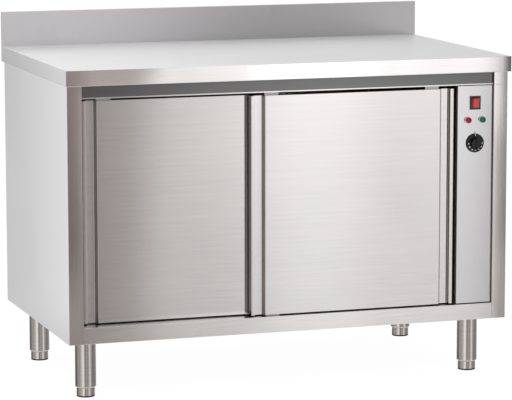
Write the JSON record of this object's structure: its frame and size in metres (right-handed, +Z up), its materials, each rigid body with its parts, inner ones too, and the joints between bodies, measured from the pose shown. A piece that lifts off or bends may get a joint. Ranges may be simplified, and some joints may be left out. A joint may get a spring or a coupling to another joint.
{
  "type": "plate warmer cabinet",
  "caption": "Stainless steel plate warmer cabinet with a worktop and upstand, sliding doors on rollers, a control panel with switch, lamps and dial, and adjustable feet.",
  "frame": {"origin": "on the floor, under the middle of the worktop's outline", "axes": "+X from left to right along the front, +Y from front to back, +Z up"},
  "size_m": [1.2, 0.7, 0.945],
  "materials": {
    "worktop_steel": "brushed lengthwise, satin",
    "body_steel": "brushed upright, satin",
    "rail_steel": "brushed lengthwise, satin",
    "door_steel": "brushed crosswise, satin",
    "panel_steel": "brushed crosswise, fine satin",
    "inner_steel": "mill finish",
    "leg_steel": "ground tube, satin",
    "zinc_steel": "zinc plated",
    "lamp_chrome": "bright chrome",
    "red_lens": "translucent red, glossy",
    "green_lens": "translucent green, glossy",
    "rocker_red": "translucent red, glossy",
    "switch_black": "moulded, semi-gloss",
    "dial_black": "moulded, satin",
    "foot_plastic": "moulded, matt",
    "stop_rubber": "matt",
    "nylon": "natural nylon",
    "copper": "drawn copper and brass",
    "motor_black": "dark enamel",
    "element_steel": "heat-tinted sheath",
    "terminal_plastic": "moulded, cream",
    "wire_insulation": "sleeve and wire insulation, black",
    "gland_plastic": "moulded, matt"
  },
  "bodies": {
    "cabinet": {"worktop": "worktop_steel", "worktop_stiffeners": "inner_steel", "ceiling_panel": "inner_steel", "left_side_panel": "body_steel", "right_side_panel": "body_steel", "back_panel": "inner_steel", "back_screws": "zinc_steel", "base_panel": "inner_steel", "base_channels": "inner_steel", "bottom_rail": "rail_steel", "top_rail": "rail_steel", "front_door_track": "inner_steel", "rear_door_track": "inner_steel", "door_stops": "stop_rubber", "door_guide": "nylon", "partition": "inner_steel", "control_panel": "panel_steel", "switch_frame": "switch_black", "lamp_bezels": "lamp_chrome", "red_lamp_lens": "red_lens", "green_lamp_lens": "green_lens", "thermostat": "copper", "shelf": "inner_steel", "shelf_supports": "inner_steel", "fan_cover": "inner_steel", "fan_motor": "motor_black", "heating_element": "element_steel", "terminal_block": "terminal_plastic", "wiring_loom": "wire_insulation", "cable_gland": "gland_plastic", "leg_front_left": "leg_steel", "leg_front_right": "leg_steel", "leg_back_left": "leg_steel", "leg_back_right": "leg_steel", "leg_bolts": "zinc_steel"},
    "left_door": {"left_door_skin": "door_steel", "left_door_liner": "inner_steel", "left_door_hangers": "inner_steel", "left_door_bolts": "zinc_steel"},
    "right_door": {"right_door_skin": "door_steel", "right_door_liner": "inner_steel", "right_door_hangers": "inner_steel", "right_door_bolts": "zinc_steel"},
    "left_roller_1": {"left_door_roller_1": "nylon"},
    "left_roller_2": {"left_door_roller_2": "nylon"},
    "right_roller_1": {"right_door_roller_1": "nylon"},
    "right_roller_2": {"right_door_roller_2": "nylon"},
    "rocker": {"switch_rocker": "rocker_red"},
    "dial": {"dial_knob": "dial_black", "thermostat_shaft": "zinc_steel"},
    "fan": {"fan_shaft": "zinc_steel", "fan_wheel": "zinc_steel"},
    "foot_front_left": {"foot_front_left": "leg_steel", "pad_front_left": "foot_plastic"},
    "foot_front_right": {"foot_front_right": "leg_steel", "pad_front_right": "foot_plastic"},
    "foot_back_left": {"foot_back_left": "leg_steel", "pad_back_left": "foot_plastic"},
    "foot_back_right": {"foot_back_right": "leg_steel", "pad_back_right": "foot_plastic"}
  },
  "joints": [
    {"name": "left_door_slide", "type": "slide", "parent": "cabinet", "child": "left_door", "axis": [1, 0, 0], "range_m": [0, 0.437]},
    {"name": "right_door_slide", "type": "slide", "parent": "cabinet", "child": "right_door", "axis": [1, 0, 0], "range_m": [-0.437, 0]},
    {"name": "left_roller_1_spin", "type": "hinge", "parent": "left_door", "child": "left_roller_1", "pos_m": [-0.4885, -0.284, 0.794], "axis": [0, 1, 0], "range_deg": [0, 2800]},
    {"name": "left_roller_2_spin", "type": "hinge", "parent": "left_door", "child": "left_roller_2", "pos_m": [-0.0475, -0.284, 0.794], "axis": [0, 1, 0], "range_deg": [0, 2800]},
    {"name": "right_roller_1_spin", "type": "hinge", "parent": "right_door", "child": "right_roller_1", "pos_m": [-0.0515, -0.312, 0.794], "axis": [0, 1, 0], "range_deg": [-2800, 0]},
    {"name": "right_roller_2_spin", "type": "hinge", "parent": "right_door", "child": "right_roller_2", "pos_m": [0.3895, -0.312, 0.794], "axis": [0, 1, 0], "range_deg": [-2800, 0]},
    {"name": "rocker_tilt", "type": "hinge", "parent": "cabinet", "child": "rocker", "pos_m": [0.507, -0.325, 0.729], "axis": [1, 0, 0], "range_deg": [-14, 0]},
    {"name": "dial_turn", "type": "hinge", "parent": "cabinet", "child": "dial", "pos_m": [0.507, -0.33, 0.623], "axis": [0, 1, 0], "range_deg": [0, 285]},
    {"name": "fan_spin", "type": "hinge", "parent": "cabinet", "child": "fan", "pos_m": [0.48, 0.058, 0.3322], "axis": [1, 0, 0], "continuous": true},
    {"name": "foot_front_left_screw", "type": "slide", "parent": "cabinet", "child": "foot_front_left", "axis": [0, 0, 1], "range_m": [-0.025, 0]},
    {"name": "foot_front_right_screw", "type": "slide", "parent": "cabinet", "child": "foot_front_right", "axis": [0, 0, 1], "range_m": [-0.025, 0]},
    {"name": "foot_back_left_screw", "type": "slide", "parent": "cabinet", "child": "foot_back_left", "axis": [0, 0, 1], "range_m": [-0.025, 0]},
    {"name": "foot_back_right_screw", "type": "slide", "parent": "cabinet", "child": "foot_back_right", "axis": [0, 0, 1], "range_m": [-0.025, 0]}
  ],
  "couplings": [
    {"joint": "left_roller_1_spin", "follows": "left_door_slide", "rad_per_m": 111.11},
    {"joint": "left_roller_2_spin", "follows": "left_door_slide", "rad_per_m": 111.11},
    {"joint": "right_roller_1_spin", "follows": "right_door_slide", "rad_per_m": 111.11},
    {"joint": "right_roller_2_spin", "follows": "right_door_slide", "rad_per_m": 111.11}
  ]
}
